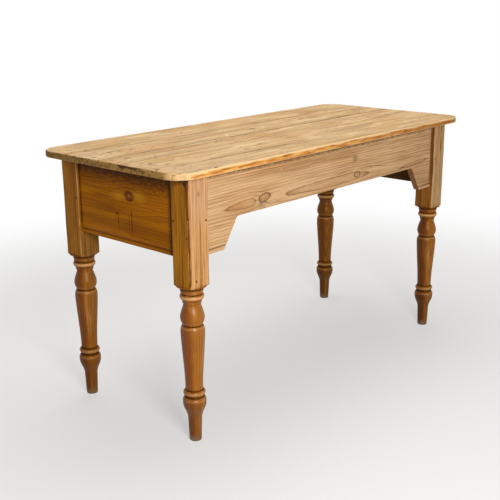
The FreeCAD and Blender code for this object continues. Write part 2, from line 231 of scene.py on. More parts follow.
def calc(operation, *values):
    """The result of a Math node, made in the tree that its values come from."""
    tree = next(value.id_data for value in values if isinstance(value, bpy.types.NodeSocket))
    made = tree.nodes.new("ShaderNodeMath")
    made.operation = operation
    for value, socket in zip(values, made.inputs):
        join(tree, value, socket)
    return made.outputs[0]


def times(first, second):
    """One value multiplied by another."""
    return calc("MULTIPLY", first, second)


def opposite(value):
    """1 less a value."""
    return calc("SUBTRACT", 1.0, value)


def ramp(value, low, high):
    """A smooth climb from 0 to 1 as the value goes from low to high."""
    inputs = {"Value": value, "From Min": low, "From Max": high}
    return add_node(value.id_data, "MapRange", inputs, interpolation_type="SMOOTHSTEP").outputs[0]


def fall(value, low, high):
    """A smooth fall from 1 to 0 as the value goes from low to high."""
    return opposite(ramp(value, low, high))


def split(vector):
    """The three parts of a vector."""
    return add_node(vector.id_data, "SeparateXYZ", {0: vector}).outputs


def grain_noise(vector, stretch, shift=(0, 0, 0), detail=2.0):
    """Noise from 0 to 1 on stretched coordinates, its scales given in lumps to the metre."""
    tree = vector.id_data
    scaled = add_node(tree, "VectorMath", {0: vector, 1: stretch, 2: shift}, operation="MULTIPLY_ADD")
    inputs = {"Vector": scaled.outputs[0], "Scale": 1.0, "Detail": detail}
    return add_node(tree, "TexNoise", inputs).outputs[0]


def colour(red, green, blue):
    """A colour written as it is seen, from 0 to 255, made linear for the shader."""
    parts = []
    for part in (red, green, blue):
        share = part / 255
        parts.append(share / 12.92 if share <= 0.04045 else ((share + 0.055) / 1.055) ** 2.4)
    return (*parts, 1.0)


def mixed(factor, first, second, how="MIX"):
    """Two colours mixed by a factor, each an output or a colour as it is seen."""
    first, second = [colour(*part) if isinstance(part, tuple) else part for part in (first, second)]
    inputs = {0: factor, 6: first, 7: second}
    return add_node(factor.id_data, "Mix", inputs, data_type="RGBA", blend_type=how).outputs[2]


def tinted(base, mask, strength, tint):
    """A colour with another laid over it where a mask is."""
    return mixed(times(mask, strength), base, tint)


def new_group(name, inputs, outputs):
    """An empty node group with its sockets."""
    tree = bpy.data.node_groups.new(name, "ShaderNodeTree")
    for label, value in inputs.items():
        kind = "NodeSocketFloat" if isinstance(value, float) else "NodeSocketVector"
        socket = tree.interface.new_socket(label, in_out="INPUT", socket_type=kind)
        if isinstance(value, float):
            socket.default_value = value
    for label in outputs:
        tree.interface.new_socket(label, in_out="OUTPUT", socket_type="NodeSocketFloat")
    given = tree.nodes.new("NodeGroupInput").outputs
    result = tree.nodes.new("NodeGroupOutput").inputs
    return tree, given, result


def growth_rings():
    """The rings of a plank cut along a tree, whose heart wanders under and along the face.

    X runs along the grain, Y across the face and Z out of it, all in metres.
    """
    inputs = {"Vector": None, "Heart Depth": 0.08, "Heart Offset": 0.0, "Sway": 0.01, "Rise": 0.02,
              "Ring Width": 0.005, "Ripple": 1.0, "Sharpness": 3.0, "Shift": 0.0,
              "Swell": 0.0, "Push": 0.0, "Seed": 0.0}
    tree, given, result = new_group("growth rings", inputs, ("Ring", "Tone", "Fibre"))
    seed = add_node(tree, "CombineXYZ", {0: given["Seed"], 1: given["Seed"], 2: given["Seed"]})
    vector = given["Vector"]
    parts = split(vector)
    sway = calc("SUBTRACT", grain_noise(vector, (1.7, 0, 0), seed.outputs[0], 1.0), 0.5)
    above = add_node(tree, "VectorMath", {0: seed.outputs[0], 1: (3, 17, 5)}, operation="ADD")
    rise = calc("SUBTRACT", grain_noise(vector, (1.5, 0, 0), above.outputs[0], 1.0), 0.5)
    across = calc("SUBTRACT", parts[1], given["Heart Offset"])
    across = calc("ADD", across, given["Push"])
    across = calc("MULTIPLY_ADD", sway, times(given["Sway"], -2.0), across)
    depth = calc("ADD", parts[2], given["Heart Depth"])
    depth = calc("MULTIPLY_ADD", rise, times(given["Rise"], 2.0), depth)
    squares = calc("ADD", times(across, across), times(depth, depth))
    distance = calc("ADD", calc("SQRT", squares), given["Swell"])
    distance = calc("ADD", distance, given["Shift"])
    ripple = calc("SUBTRACT", grain_noise(vector, (5, 24, 24), seed.outputs[0]), 0.5)
    hair = calc("SUBTRACT", grain_noise(vector, (19, 170, 170), seed.outputs[0]), 0.5)
    bend = calc("MULTIPLY_ADD", hair, 0.45, times(ripple, 1.7))
    bend = times(bend, given["Ripple"])
    count = calc("ADD", calc("DIVIDE", distance, given["Ring Width"]), bend)
    saw = calc("FRACT", count)
    late = calc("POWER", saw, given["Sharpness"])
    late = times(late, fall(saw, 0.93, 1.0))
    number = calc("ADD", calc("FLOOR", count), given["Seed"])
    tone = add_node(tree, "TexWhiteNoise", {"W": number}, noise_dimensions="1D").outputs[0]
    late = times(late, calc("MULTIPLY_ADD", tone, 0.6, 0.9))
    join(tree, calc("MINIMUM", late, 1.0), result["Ring"])
    join(tree, tone, result["Tone"])
    fibre = grain_noise(vector, (22, 900, 900), seed.outputs[0], 3.0)
    join(tree, fibre, result["Fibre"])
    return tree


def knot():
    """A knot. Its swell lifts the rings round it, and its push parts the grain to go round it."""
    inputs = {"Vector": None, "Place": None, "Radius": 0.015, "Reach": 2.2, "Height": 0.0,
              "Spread": 0.0, "Stretch": 1.4, "Lean": 0.0}
    tree, given, result = new_group("knot", inputs, ("Swell", "Push", "Core", "Rim"))
    off = add_node(tree, "VectorMath", {0: given["Vector"], 1: given["Place"]}, operation="SUBTRACT")
    parts = split(off.outputs[0])
    along = calc("DIVIDE", parts[0], given["Stretch"])
    across = calc("SUBTRACT", parts[1], times(parts[0], given["Lean"]))
    away = calc("SQRT", calc("ADD", times(along, along), times(across, across)))
    lumps = calc("SUBTRACT", grain_noise(given["Vector"], (40, 70, 0)), 0.5)
    away = calc("MULTIPLY_ADD", lumps, times(given["Radius"], 0.45), away)
    share = calc("DIVIDE", away, given["Radius"])
    spread = calc("DIVIDE", share, given["Reach"])
    bell = calc("EXPONENT", times(calc("POWER", spread, 1.4), -1.0))
    height = times(given["Height"], given["Radius"])
    join(tree, times(bell, height), result["Swell"])
    push = times(times(across, bell), given["Spread"])
    join(tree, times(push, -1.0), result["Push"])
    core = fall(share, 0.85, 1.05)
    join(tree, core, result["Core"])
    outer = times(ramp(share, 0.7, 0.92), fall(share, 1.0, 1.25))
    inner = calc("POWER", calc("FRACT", times(share, 3.0)), 3.0)
    inner = times(times(inner, core), 0.5)
    join(tree, calc("MAXIMUM", outer, inner), result["Rim"])
    return tree


def spot_mask(vector, spot, radius, stretch, softness=0.5, lean=0.0):
    """A soft-edged spot or streak on a face, 1 in its middle, sloping where it leans."""
    inputs = {0: vector, 1: (*spot, 0)}
    off = add_node(vector.id_data, "VectorMath", inputs, operation="SUBTRACT")
    parts = split(off.outputs[0])
    along = calc("DIVIDE", parts[0], radius * stretch)
    across = calc("MULTIPLY_ADD", parts[0], -lean, parts[1])
    across = calc("DIVIDE", across, radius)
    away = calc("SQRT", calc("ADD", times(along, along), times(across, across)))
    lumps = calc("SUBTRACT", grain_noise(vector, (60, 160, 160)), 0.5)
    away = calc("MULTIPLY_ADD", lumps, 0.9, away)
    return fall(away, 1 - softness, 1.0)


ring_group = growth_rings()
knot_group = knot()


def group_node(group, inputs):
    """A node group placed in the tree that its vector comes from, with its values."""
    tree = inputs["Vector"].id_data
    made = tree.nodes.new("ShaderNodeGroup")
    made.node_tree = group
    for name, value in inputs.items():
        join(tree, value, made.inputs[name])
    return made.outputs


def start_material(name, place, turn):
    """A new material with a face's own coordinates: its place is 0 and the grain runs along X."""
    material = bpy.data.materials.new(name)
    material.use_nodes = True
    tree = material.node_tree
    whole = add_node(tree, "TexCoord", {}).outputs["Object"]
    inputs = {"Vector": whole, "Location": place, "Rotation": turn}
    local = add_node(tree, "Mapping", inputs, vector_type="TEXTURE").outputs[0]
    return material, tree, local


def knotty_rings(local, knots, rings):
    """The rings of a face with its knots in it, and the masks of the knots' cores and rims."""
    swell = 0.0
    push = 0.0
    core = 0.0
    rim = 0.0
    for place, radius, reach, height, spread, stretch, lean, darkness in knots:
        inputs = {"Vector": local, "Place": (*place, 0), "Radius": radius * mm, "Reach": reach,
                  "Height": height, "Spread": spread, "Stretch": stretch, "Lean": lean}
        outputs = group_node(knot_group, inputs)
        swell = calc("ADD", outputs["Swell"], swell)
        if spread:
            push = calc("ADD", outputs["Push"], push)
        if darkness:
            core = calc("MULTIPLY_ADD", outputs["Core"], darkness, core)
            rim = calc("MULTIPLY_ADD", outputs["Rim"], darkness, rim)
    ring_inputs = {"Vector": local, "Swell": swell, "Push": push, **rings}
    return (*group_node(ring_group, ring_inputs), core, rim)


def facing_of(tree):
    """The direction that a face looks in, as three parts."""
    return split(add_node(tree, "NewGeometry", {}).outputs["Normal"])


def part_noise(vector, stretch, shift, low, high, strength, detail=3.0):
    """Streaks or patches of stretched noise, from 0 to a strength."""
    lumps = grain_noise(vector, stretch, shift, detail)
    return times(ramp(lumps, low, high), strength)


def finish_material(tree, base, roughness, height, bump, shine, tint=(1.0, 1.0, 1.0, 1.0), wax=0.0):
    """The shader of a pine face, its shine low where the wood is bare, with a coat where waxed."""
    shader = tree.nodes["Principled BSDF"]
    shader.inputs["Specular IOR Level"].default_value = shine
    shader.inputs["Specular Tint"].default_value = tint
    join(tree, base, shader.inputs["Base Color"])
    join(tree, roughness, shader.inputs["Roughness"])
    join(tree, wax, shader.inputs["Coat Weight"])
    shader.inputs["Coat Roughness"].default_value = 0.27
    inputs = {"Height": height, "Strength": bump, "Distance": 0.6 * mm}
    join(tree, add_node(tree, "Bump", inputs).outputs[0], shader.inputs["Normal"])


block_pale = (226, 180, 126)
block_line = (160, 98, 42)
block_brown = (146, 92, 32)
turned_brown = (169, 101, 17)
turned_line = (88, 52, 4)
groove_dark = (52, 24, 5)
# A pale for rubbed wear, used also for a painted highlight on the upper ring crests.
pale_rub_and_highlight = (222, 168, 110)
ankle_tint = (214, 206, 180)
wax_glow = (1.0, 0.66, 0.25, 1.0)


def leg_material(name, node, seed, heart, wear, turning_shade, polish, tints, spots):
    """Waxed pine for one leg. A spot's place is in metres and its radius in millimetres."""
    low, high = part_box(node)
    place = ((low.x + high.x) / 2, (low.y + high.y) / 2, 0)
    upright = Matrix(((0, 1, 0), (0, 0, 1), (1, 0, 0))).to_euler()
    material, tree, local = start_material(name, place, upright)
    rings = {"Vector": local, "Heart Depth": heart[1], "Heart Offset": heart[0], "Sway": 0.012,
             "Rise": 0.012, "Ring Width": 0.0048, "Ripple": 0.7, "Sharpness": 3.0, "Seed": seed}
    ring, tone, fibre = group_node(ring_group, rings)
    parts = split(local)
    along = parts[0]
    facing = facing_of(tree)
    turned = fall(along, shoulder - 4 * mm, shoulder + 8 * mm)
    squared = opposite(turned)
    hollow = add_node(tree, "Attribute", {}, attribute_name="hollow").outputs["Fac"]
    blotch = grain_noise(local, (5, 26, 26), (seed, 0, 0), 3.0)
    block = tinted(block_pale, ring, 0.6, block_line)
    block = tinted(block, tone, 0.2, block_line)
    turning = tinted(turned_brown, ring, 0.65, turned_line)
    base = mixed(turned, block, turning)
    strong = calc("MULTIPLY_ADD", turned, -0.2, 0.9)
    wide = part_noise(local, (2.5, 70, 70), (seed, 2, 0), 0.5, 0.66, 0.5)
    base = tinted(base, wide, strong, block_brown)
    narrow = part_noise(local, (6, 210, 210), (seed, 7, 0), 0.5, 0.66, 0.65)
    base = tinted(base, narrow, strong, (112, 70, 20))
    light = part_noise(local, (4, 60, 60), (seed, 4, 0), 0.52, 0.7, 0.3)
    base = mixed(light, base, (232, 178, 110))
    base = tinted(base, ramp(fibre, 0.5, 0.75), 0.3, (112, 62, 24))
    # Faces looking along X are tinted darker and more saturated: partly the pine's own colour, partly
    # painted shade.
    end_face = ramp(calc("ABSOLUTE", facing[0]), 0.6, 0.96)
    base = mixed(end_face, base, tints[0], "MULTIPLY")
    scratched = part_noise(local, (5, 130, 130), (seed, 5, 0), 0.5, 0.62, 0.45)
    base = tinted(base, times(scratched, end_face), squared, (96, 52, 8))
    # The heads' front and back faces are tinted too; on the back legs this darkening is painted shade.
    inner = times(ramp(calc("ABSOLUTE", facing[1]), 0.6, 0.9), squared)
    base = mixed(inner, base, tints[1], "MULTIPLY")
    # Painted shade: the turning of the right and back legs is darkened, the back ones most.
    base = tinted(base, turned, turning_shade, groove_dark)
    grime = ramp(calc("MULTIPLY_ADD", blotch, 0.5, hollow), 0.4, 1.0)
    base = tinted(base, grime, 0.8, groove_dark)
    base = mixed(fall(along, 0.11, 0.14), base, ankle_tint, "MULTIPLY")
    crest = ramp(times(hollow, -1.0), 0.12, 0.5)
    # The crests are rubbed paler; from 0.3 to 0.4 m up they grow paler still as a painted highlight.
    rub_and_highlight = calc("MULTIPLY_ADD", ramp(along, 0.3, 0.4), 0.55, 0.35)
    base = tinted(base, crest, rub_and_highlight, pale_rub_and_highlight)
    corner = times(calc("ABSOLUTE", facing[0]), calc("ABSOLUTE", facing[1]))
    arris = times(ramp(corner, 0.03, 0.3), squared)
    patchy = grain_noise(local, (11, 90, 90), (seed, 9, 0), 3.0)
    base = tinted(base, times(arris, ramp(patchy, 0.58, 0.42)), 0.45, pale_rub_and_highlight)
    base = tinted(base, times(arris, ramp(patchy, 0.48, 0.62)), wear, (88, 40, 14))
    faces = {}
    for face, side, across in (("end", facing[0], parts[2]), ("front", facing[1], parts[1])):
        flat = add_node(tree, "CombineXYZ", {0: along, 1: across}).outputs[0]
        faces[face] = (flat, ramp(times(side, -1.0), 0.5, 0.8))
    for face, spot, radius, stretch, strength, tint in spots:
        flat, seen = faces[face]
        mask = spot_mask(flat, spot, radius * mm, stretch)
        base = tinted(base, times(mask, seen), strength, tint)
    foot = fall(along, 4 * mm, 26 * mm)
    base = tinted(base, foot, ramp(blotch, 0.42, 0.6), (122, 98, 74))
    gloss = calc("MULTIPLY_ADD", blotch, 0.16, calc("MULTIPLY_ADD", turned, -0.08, 0.5))
    gloss = calc("MULTIPLY_ADD", grime, 0.4, gloss)
    relief = calc("MULTIPLY_ADD", fibre, 0.35, times(ring, 0.5))
    coat = times(times(turned, polish), opposite(grime))
    finish_material(tree, base, gloss, relief, 0.35, 0.3, wax_glow, coat)
    return material


# A dark for real marks, used also for painted shadow under the top.
mark_and_shadow_dark = (62, 34, 14)
grey_knot = (146, 116, 84)
near_leg_spots = [
    ("front", (0.75, 0), 90, 1.8, 0.4, (204, 162, 130)),
    ("front", (0.703, 0), 8, 1.1, 0.6, grey_knot),
    ("front", (0.472, -0.014), 4, 1.6, 0.8, mark_and_shadow_dark),
    ("front", (0.7, 0.026), 1.2, 45, 0.55, mark_and_shadow_dark),
    ("end", (0.59, -0.022), 3, 1.3, 0.9, mark_and_shadow_dark),
    ("end", (0.56, -0.029), 2.2, 46, 0.85, (74, 32, 10)),
    ("end", (0.69, -0.02), 2, 20, 0.5, (92, 46, 14)),
    ("end", (0.602, -0.027), 2.6, 20, 0.85, (74, 34, 10)),
    ("end", (0.652, -0.026), 3.4, 6, 0.8, (84, 38, 12)),
    # Painted shadow under the top on the head's end face.
    ("end", (0.744, -0.02), 17, 1.3, 0.95, (52, 24, 6)),
    ("end", (0.712, -0.025), 3.6, 10, 0.85, (84, 36, 10)),
    ("end", (0.722, -0.01), 2.2, 14, 0.6, (92, 52, 14)),
    ("end", (0.668, 0.002), 2.4, 24, 0.5, (104, 62, 14)),
    ("end", (0.64, 0.014), 2, 30, 0.5, (104, 62, 14)),
    ("end", (0.655, -0.0265), 2.4, 26, 0.85, (84, 38, 14)),
    ("end", (0.5, 0.01), 9, 3, 0.35, (112, 74, 20)),
    # Painted shadow under the top, spread down the head's end face.
    ("end", (0.765, 0), 90, 0.5, 0.9, mark_and_shadow_dark),
    ("end", (0.68, -0.029), 4, 18, 0.5, (110, 58, 16)),
    ("front", (0.65, -0.031), 4.5, 26, 0.5, (168, 96, 46)),
    ("front", (0.52, -0.032), 3, 26, 0.5, (150, 84, 34)),
    ("front", (0.69, 0.032), 2.5, 22, 0.45, (158, 96, 54)),
]
right_leg_spots = [
    ("end", (0.65, -0.03), 6, 26, 0.6, (92, 60, 28)),
    ("front", (0.6, 0.01), 2.5, 44, 0.4, (96, 68, 38)),
    ("front", (0.66, -0.018), 2.2, 36, 0.4, (96, 68, 38)),
    ("front", (0.7, 0.026), 3, 20, 0.35, (112, 84, 54)),
]
back_leg_spots = [
    ("end", (0.64, 0.012), 3, 1.4, 0.7, mark_and_shadow_dark),
    # Painted shadow under the top on this head's end face.
    ("end", (0.762, 0), 90, 0.4, 0.8, mark_and_shadow_dark),
]


near_split = (radians(-139), 2.2 * mm, 3.4 * mm, 0.462, 0.64)
right_split = (radians(-72), 0.9 * mm, 1.4 * mm, 0.66, 0.74)
# Each leg has a tint for its end faces and one for its front and back faces. The golden end tints are
# partly painted shade; the right legs' end tints and the back legs' front and back tints are painted shade.
golden = ((210, 177, 46), (252, 243, 232))
near_brown = ((176, 150, 96), (240, 244, 244))
far_golden = ((210, 176, 40), (166, 146, 92))
far_brown = ((206, 182, 120), (180, 162, 120))
# The sixth column is painted shade that darkens the turning of the right and back legs.
for name, seed, heart, splits, wear, turning_shade, polish, tints, spots in (
    ("front_left", 3.0, (0.05, 0.07), [near_split], 0.8, 0.0, 0.34, golden, near_leg_spots),
    ("front_right", 11.0, (-0.03, 0.08), [right_split], 0.6, 0.12, 0.14, near_brown, right_leg_spots),
    ("back_left", 21.0, (0.07, 0.05), [], 0.5, 0.25, 0.14, far_golden, back_leg_spots),
    ("back_right", 31.0, (-0.06, 0.06), [], 0.5, 0.4, 0.08, far_brown, []),
):
    node = "leg_" + name
    wax = leg_material("waxed pine " + name, node, seed, heart, wear, turning_shade, polish, tints, spots)
    put_in_place("worn_leg_" + name, leg_mesh(node, seed, splits), wax, node)


# The aprons. Each is one wide pine board, tenoned into the legs, with a bead along its foot. The
# long ones have a knee arch sawn out between two brackets. They are bare or thinly waxed, so the
# rings, knots and resin patches show. Painted shade is in their colour too: the shadow under the
# top, the shadow that the legs cast on the aprons' ends with the dark of the joints, very dark inner
# faces, and the end aprons' darker, more saturated tint, which is partly the pine's own colour.

board_facing = {
    "front": Euler((radians(90), 0, 0)),
    "back": Euler((radians(90), 0, radians(180))),
    "left": Euler((radians(90), 0, radians(-90))),
    "right": Euler((radians(90), 0, radians(90))),
}
worn_layer = 6 * mm
wave_depth = 0.5 * mm
rubbed_height = 9 * mm
rubbed_depth = 1.1 * mm
bead_line = 207.8 * mm


def sliced(mesh, direction, places):
    """Cuts a mesh's faces along parallel planes, to give them points that can move."""
    for place in places:
        parts = mesh.verts[:] + mesh.edges[:] + mesh.faces[:]
        bmesh.ops.bisect_plane(mesh, geom=parts, dist=0.01 * mm, plane_co=direction * place,
                               plane_no=direction)


def steps(start, end, spacing):
    """Places between two ends at an even spacing."""
    count = max(1, round((end - start) / spacing))
    return [start + (end - start) * number / count for number in range(1, count)]


def apron_mesh(node, outward, seed):
    """An apron with its face gone slightly wavy and its edges rubbed."""
    low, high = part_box(node)
    mesh = merged_copy(node)
    along = Vector((abs(outward.y), abs(outward.x), 0))
    sliced(mesh, along, steps(low.dot(along), high.dot(along), 16 * mm))
    sliced(mesh, Vector((0, 0, 1)), steps(low.z, high.z, 14 * mm))
    face = max(low.dot(outward), high.dot(outward))
    for vertex in mesh.verts:
        behind = face - vertex.co.dot(outward)
        if behind < worn_layer:
            hollow = 0.5 + 0.5 * worn(vertex.co, seed, 7)
            vertex.co -= outward * wave_depth * hollow
            low_edge = max(0.0, 1 - (vertex.co.z - low.z) / rubbed_height)
            rub = max(0.0, worn(vertex.co, seed + 4, 23))
            vertex.co.z += rubbed_depth * rub * low_edge
    return mesh


def apron_material(name, side, face, colours, rings, knots, patches, shine_tint):
    """The pine of one apron, with its own rings and knots. The face is the middle of its top edge."""
    material, tree, local = start_material(name, face, board_facing[side])
    ring, tone, fibre, core, rim = knotty_rings(local, knots, rings)
    pale, line, warm, light, knot_colour, knot_line = colours
    seed = rings["Seed"]
    blotch = grain_noise(local, (3.5, 11, 11), (seed, 0, 0), 3.0)
    base = tinted(pale, ramp(blotch, 0.42, 0.66), 0.5, warm)
    base = tinted(base, tone, 0.22, line)
    base = tinted(base, ring, ring_strength[side], line)
    thin = part_noise(local, (7, 300, 60), (seed, 3, 0), 0.5, 0.68, 0.5)
    base = mixed(thin, base, line)
    base = tinted(base, ramp(fibre, 0.5, 0.8), 0.3, line)
    base = mixed(part_noise(local, (2.2, 30, 30), (seed, 6, 0), 0.5, 0.72, 0.4), base, light)
    dark = part_noise(local, (1.8, 14, 14), (seed, 8, 0), 0.5, 0.7, 0.35)
    base = mixed(dark, base, line)
    base = tinted(base, core, knot_strength[side], knot_colour)
    base = tinted(base, rim, 0.8, knot_line)
    for spot, radius, stretch, lean, softness, strength, tint in patches:
        mask = spot_mask(local, spot, radius * mm, stretch, softness, lean)
        base = tinted(base, mask, strength, tint)
    parts = split(local)
    quirk = calc("ABSOLUTE", calc("ADD", parts[1], bead_line))
    quirk = fall(quirk, 0.6 * mm, 2.4 * mm)
    base = tinted(base, quirk, 0.6, (58, 28, 8))
    half = face_half[side]
    # Painted shadow cast by the leg onto this end of the apron, with the dark of the joint.
    by_leg = ramp(times(parts[0], shadowed_end[side]), half - 24 * mm, half - 6 * mm)
    base = tinted(base, by_leg, leg_shadow_and_joint[side], (54, 28, 8))
    outward = facing_of(tree)[1 if side in ("front", "back") else 0]
    sawn = fall(calc("ABSOLUTE", outward), 0.3, 0.75)
    base = tinted(base, sawn, 0.82, (112, 62, 26))
    # Painted shade: the aprons' inner faces are painted very dark brown.
    inward = times(outward, 1.0 if side in ("front", "left") else -1.0)
    shaded_back = mixed(ring, (66, 44, 30), (44, 28, 18))
    base = tinted(base, ramp(inward, 0.3, 0.7), 0.88, shaded_back)
    gloss = calc("MULTIPLY_ADD", blotch, 0.15, 0.42)
    relief = calc("MULTIPLY_ADD", fibre, 0.4, times(ring, 0.7))
    finish_material(tree, base, gloss, relief, 0.4, 0.11, shine_tint)
    return material


face_half = {"front": 0.5575, "back": 0.5575, "left": 0.1955, "right": 0.1955}
knot_strength = {"front": 0.35, "back": 0.7, "left": 0.9, "right": 0.9}
ring_strength = {"front": 1.0, "back": 0.95, "left": 0.5, "right": 0.5}
# The next two set the strength and the end of the painted shadow beside a leg, with the joint's dark.
leg_shadow_and_joint = {"front": 0.0, "back": 0.0, "left": 0.85, "right": 0.6}
shadowed_end = {"front": 1, "back": -1, "left": 1, "right": -1}
outward_of = {
    "front": Vector((0, -1, 0)),
    "back": Vector((0, 1, 0)),
    "left": Vector((-1, 0, 0)),
    "right": Vector((1, 0, 0)),
}
grey_resin = (146, 128, 100)
crack_brown = (118, 66, 32)
red_brown = (92, 34, 6)
pink_tan = ((228, 187, 138), (132, 82, 40), (206, 156, 102), (234, 200, 154), (198, 140, 86), (96, 52, 24))
# The end aprons' colours are darker and more saturated than the long ones': partly the pine's own golden
# colour, partly painted shade.
dark_gold = ((184, 110, 2), (90, 42, 0), (156, 88, 0), (204, 132, 8), (96, 44, 4), (44, 14, 0))

front_rings = {"Heart Depth": 0.02, "Heart Offset": -0.112, "Sway": 0.0, "Rise": 0.0,
               "Ring Width": 0.0078, "Ripple": 0.3, "Sharpness": 7.0, "Shift": 0.00535, "Seed": 4.0}
front_knots = [
    ((-0.372, -0.101), 34, 1, -0.25, 0, 2.15, 0.06, 0),
    ((-0.33, -0.108), 30, 1, 0.42, 0, 1.2, 0, 0),
    ((-0.262, -0.112), 22, 1, 0.2, 0, 1, 0, 0),
    ((-0.052, -0.11), 42, 1, -0.185, 0, 4.2, 0, 0),
    ((0.085, -0.106), 24, 1, -0.14, 0, 2.3, 0, 0),
    ((-0.323, -0.104), 11.5, 1.15, 0, 0, 2, 0.12, 0.95),
    ((0.118, -0.108), 8.8, 1.1, 0, 0, 1.8, 0, 0.95),
    ((0.112, -0.066), 9, 1.5, 0.6, 0, 1.3, 0, 0),
    ((0.448, -0.121), 6, 1.2, 0.2, 0, 13.5, 0.055, 0.8),
]
front_patches = [
    ((-0.334, -0.123), 18, 1.3, 0, 0.8, 0.55, grey_resin),
    ((0.105, -0.055), 18, 1.1, 0, 0.9, 0.7, (130, 110, 84)),
    ((0.039, -0.091), 1.6, 36, 0.093, 0.6, 0.6, crack_brown),
    ((0.153, -0.1), 1.6, 22, -0.53, 0.6, 0.5, crack_brown),
    ((-0.43, -0.108), 10, 4.6, 0.1, 0.9, 0.4, (192, 116, 56)),
    ((0.225, -0.096), 1.6, 64, -0.12, 0.6, 0.65, crack_brown),
    ((-0.25, -0.036), 4, 1.6, 0, 0.7, 0.3, (236, 200, 160)),
    # Painted shadow beside the legs at both ends of the front apron, with the dark of the joints.
    ((-0.5555, -0.11), 130, 0.012, 0, 0.6, 0.75, (92, 56, 28)),
    ((0.5555, -0.11), 130, 0.012, 0, 0.6, 0.75, (72, 44, 22)),
    # Painted shadow under the top's front edge.
    ((0, -0.002), 21, 60, 0, 0.6, 0.75, (84, 46, 4)),
]
left_rings = {"Heart Depth": 0.05, "Heart Offset": -0.3, "Sway": 0.006, "Rise": 0.006,
              "Ring Width": 0.0066, "Ripple": 0.8, "Sharpness": 2.8, "Seed": 9.0}
left_knots = [((0.023, -0.084), 12.8, 4.2, 0, 0.95, 1.4, 0, 0.95)]
left_patches = [
    ((-0.022, -0.088), 20, 2.4, 0, 1, 0.55, (206, 142, 30)),
    ((0.062, -0.078), 24, 1.8, 0, 1, 0.6, (206, 146, 30)),
    ((0.022, -0.083), 6.2, 1.3, 0, 0.9, 0.75, (190, 124, 64)),
    ((0.024, -0.084), 7, 0.16, 0, 0.6, 0.9, red_brown),
    ((0.019, -0.162), 46, 0.035, 0, 0.5, 0.6, red_brown),
    ((0.03, -0.16), 48, 0.045, 0, 0.4, 0.95, red_brown),
    ((0.029, -0.136), 8, 0.5, 0, 0.6, 0.7, red_brown),
    ((-0.026, -0.165), 40, 0.055, 0, 0.6, 0.9, red_brown),
    ((-0.032, -0.14), 7, 0.9, 0, 0.6, 0.8, red_brown),
    ((-0.105, -0.097), 7, 9, -0.03, 0.9, 0.6, (104, 50, 2)),
    ((-0.08, -0.128), 30, 2.2, 0.2, 0.9, 0.35, (132, 76, 4)),
    ((-0.062, -0.128), 16, 1.8, 0.3, 0.9, 0.35, (120, 62, 12)),
    # Painted shadow under the top's overhang, darkest at the apron's top edge.
    ((0, 0.01), 100, 20, 0, 0.85, 0.85, (78, 36, 2)),
    ((0, 0.004), 56, 30, 0, 0.95, 0.9, (34, 12, 0)),
]

for side, colours, rings, knots, patches, glow in (
    ("front", pink_tan, front_rings, front_knots, front_patches, (1.0, 0.9, 0.75, 1.0)),
    ("back", pink_tan, {**front_rings, "Seed": 14.0, "Heart Depth": 0.05, "Heart Offset": -0.08,
                        "Sway": 0.02, "Rise": 0.01},
     [((-0.21, -0.09), 14, 2, 0, 0.9, 1.5, 0, 0.8),
      ((0.33, -0.05), 10, 2, 0, 0.9, 1.3, 0, 0.8)], [], (1.0, 0.9, 0.75, 1.0)),
    ("left", dark_gold, left_rings, left_knots, left_patches, (1.0, 0.6, 0.15, 1.0)),
    ("right", dark_gold, {**left_rings, "Seed": 19.0},
     [((-0.09, -0.12), 13, 2.4, 0, 0.9, 1.4, 0, 0.8)], [], (1.0, 0.7, 0.3, 1.0)),
):
    node = "apron_" + side
    outward = outward_of[side]
    low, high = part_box(node)
    face = outward * max(low.dot(outward), high.dot(outward)) + Vector((0, 0, high.z))
    pine = apron_material("apron pine " + side, side, face, colours, rings, knots, patches, glow)
    put_in_place("worn_" + node, apron_mesh(node, outward, rings["Seed"]), pine, node)


# The pieces that stay as they were made: the draw pegs, the battens and glue blocks under the top,
# and the screws. The wood is raw and a little dusty, and the steel has gone dull.


def dress(node, material):
    """Gives a CAD node its material."""
    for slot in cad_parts[node].material_slots:
        slot.material = material


def raw_pine(name, turn, pale, line, seed):
    """Unfinished pine, for the pieces out of sight and the pegs."""
    material, tree, local = start_material(name, (0, 0, 0), turn)
    rings = {"Vector": local, "Heart Depth": 0.05, "Heart Offset": 0.02, "Sway": 0.01, "Rise": 0.01,
             "Ring Width": 0.004, "Ripple": 1.0, "Sharpness": 3.0, "Seed": seed}
    grain = group_node(ring_group, rings)
    ring, fibre = grain["Ring"], grain["Fibre"]
    dust = grain_noise(local, (30, 30, 30), (seed, 0, 0), 3.0)
    base = tinted(pale, ring, 0.7, line)
    base = tinted(base, ramp(fibre, 0.5, 0.8), 0.3, line)
    base = tinted(base, ramp(dust, 0.45, 0.7), 0.35, (128, 104, 78))
    relief = calc("MULTIPLY_ADD", fibre, 0.5, times(ring, 0.5))
    finish_material(tree, base, 0.75, relief, 0.4, 0.2)
    return material


across_table = Euler((0, 0, radians(90)))
batten_pine = raw_pine("raw pine battens", across_table, (186, 144, 96), (140, 94, 54), 2.0)
for side in ("left", "right"):
    dress("top_batten_" + side, batten_pine)
for side, turn in board_facing.items():
    block_pine = raw_pine("raw pine blocks " + side, turn, (190, 148, 100), (142, 98, 58), 6.0)
    dress("glue_blocks_" + side, block_pine)
dress("draw_pegs", raw_pine("peg wood", Euler((0, 0, 0)), (122, 78, 40), (84, 50, 26), 5.0))


